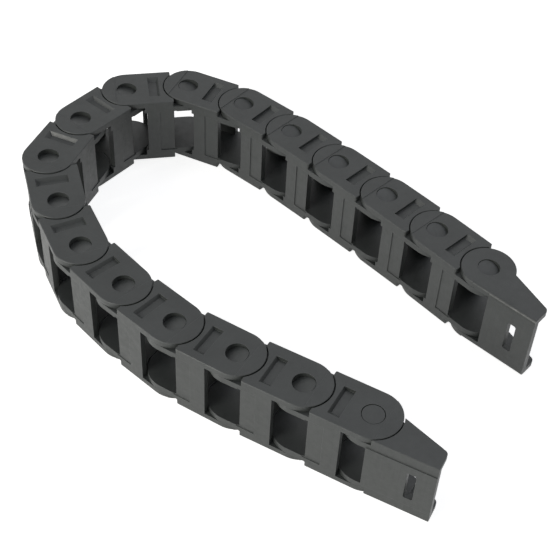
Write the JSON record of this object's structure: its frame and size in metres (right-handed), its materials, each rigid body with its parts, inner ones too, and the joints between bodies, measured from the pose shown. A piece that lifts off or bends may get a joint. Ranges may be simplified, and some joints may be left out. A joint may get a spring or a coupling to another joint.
{
  "type": "cable drag chain",
  "caption": "Flexible plastic cable drag chain: hinged box links between slotted end brackets, stored lying on its side in a U bend.",
  "frame": {"origin": "centre of the fixed bracket's screw slot, on the outer face of its mounting web", "axes": "+X from the first hinge towards the fixed bracket's free end, -Y out of its mounting face, +Z along the hinge pins, up as the chain lies on its side"},
  "size_m": [0.2177, 0.1454, 0.0314],
  "materials": {
    "moulded_nylon": "matt moulded, charcoal black"
  },
  "bodies": {
    "fixed_bracket": {"fixed_bracket": "moulded_nylon"},
    "link_01": {"link_01": "moulded_nylon"},
    "link_02": {"link_02": "moulded_nylon"},
    "link_03": {"link_03": "moulded_nylon"},
    "link_04": {"link_04": "moulded_nylon"},
    "link_05": {"link_05": "moulded_nylon"},
    "link_06": {"link_06": "moulded_nylon"},
    "link_07": {"link_07": "moulded_nylon"},
    "link_08": {"link_08": "moulded_nylon"},
    "link_09": {"link_09": "moulded_nylon"},
    "link_10": {"link_10": "moulded_nylon"},
    "link_11": {"link_11": "moulded_nylon"},
    "link_12": {"link_12": "moulded_nylon"},
    "link_13": {"link_13": "moulded_nylon"},
    "link_14": {"link_14": "moulded_nylon"},
    "link_15": {"link_15": "moulded_nylon"},
    "link_16": {"link_16": "moulded_nylon"},
    "moving_bracket": {"moving_bracket": "moulded_nylon"}
  },
  "joints": [
    {"name": "hinge_01", "type": "hinge", "parent": "fixed_bracket", "child": "link_01", "pos_m": [-0.0198, 0.0108, 0], "axis": [0, 0, -1], "range_deg": [-1.5, 39.5]},
    {"name": "hinge_02", "type": "hinge", "parent": "link_01", "child": "link_02", "pos_m": [-0.04629, 0.01149, 0], "axis": [0, 0, -1], "range_deg": [0, 41]},
    {"name": "hinge_03", "type": "hinge", "parent": "link_02", "child": "link_03", "pos_m": [-0.07278, 0.01219, 0], "axis": [0, 0, 1], "range_deg": [-38.5, 2.5]},
    {"name": "hinge_04", "type": "hinge", "parent": "link_03", "child": "link_04", "pos_m": [-0.09922, 0.01404, 0], "axis": [0, 0, 1], "range_deg": [-30, 11]},
    {"name": "hinge_05", "type": "hinge", "parent": "link_04", "child": "link_05", "pos_m": [-0.12481, 0.02089, 0], "axis": [0, 0, -1], "range_deg": [-5.5, 24.5]},
    {"name": "hinge_06", "type": "hinge", "parent": "link_05", "child": "link_06", "pos_m": [-0.14964, 0.03018, 0], "axis": [0, 0, -1], "range_deg": [-17.5, 18.5]},
    {"name": "hinge_07", "type": "hinge", "parent": "link_06", "child": "link_07", "pos_m": [-0.17052, 0.04649, 0], "axis": [0, 0, 1], "range_deg": [-15.5, 9.5]},
    {"name": "hinge_08", "type": "hinge", "parent": "link_07", "child": "link_08", "pos_m": [-0.18842, 0.06603, 0], "axis": [0, 0, 1], "range_deg": [-2.5, 38.5]},
    {"name": "hinge_09", "type": "hinge", "parent": "link_08", "child": "link_09", "pos_m": [-0.19027, 0.09246, 0], "axis": [0, 0, -1], "range_deg": [-18, 13]},
    {"name": "hinge_10", "type": "hinge", "parent": "link_09", "child": "link_10", "pos_m": [-0.18386, 0.11818, 0], "axis": [0, 0, -1], "range_deg": [-40, 1]},
    {"name": "hinge_11", "type": "hinge", "parent": "link_10", "child": "link_11", "pos_m": [-0.16242, 0.13375, 0], "axis": [0, 0, 1], "range_deg": [-7.5, 33.5]},
    {"name": "hinge_12", "type": "hinge", "parent": "link_11", "child": "link_12", "pos_m": [-0.13595, 0.13491, 0], "axis": [0, 0, 1], "range_deg": [-20.5, 15.5]},
    {"name": "hinge_13", "type": "hinge", "parent": "link_12", "child": "link_13", "pos_m": [-0.11012, 0.12895, 0], "axis": [0, 0, -1], "range_deg": [-4, 27]},
    {"name": "hinge_14", "type": "hinge", "parent": "link_13", "child": "link_14", "pos_m": [-0.08478, 0.1212, 0], "axis": [0, 0, -1], "range_deg": [-1, 40]},
    {"name": "hinge_15", "type": "hinge", "parent": "link_14", "child": "link_15", "pos_m": [-0.05958, 0.11301, 0], "axis": [0, 0, 1], "range_deg": [-40, 1]},
    {"name": "hinge_16", "type": "hinge", "parent": "link_15", "child": "link_16", "pos_m": [-0.03452, 0.10438, 0], "axis": [0, 0, 1], "range_deg": [-39.5, 1.5]},
    {"name": "hinge_17", "type": "hinge", "parent": "link_16", "child": "moving_bracket", "pos_m": [-0.0097, 0.0951, 0], "axis": [0, 0, -1], "range_deg": [-0.5, 46.5]}
  ]
}
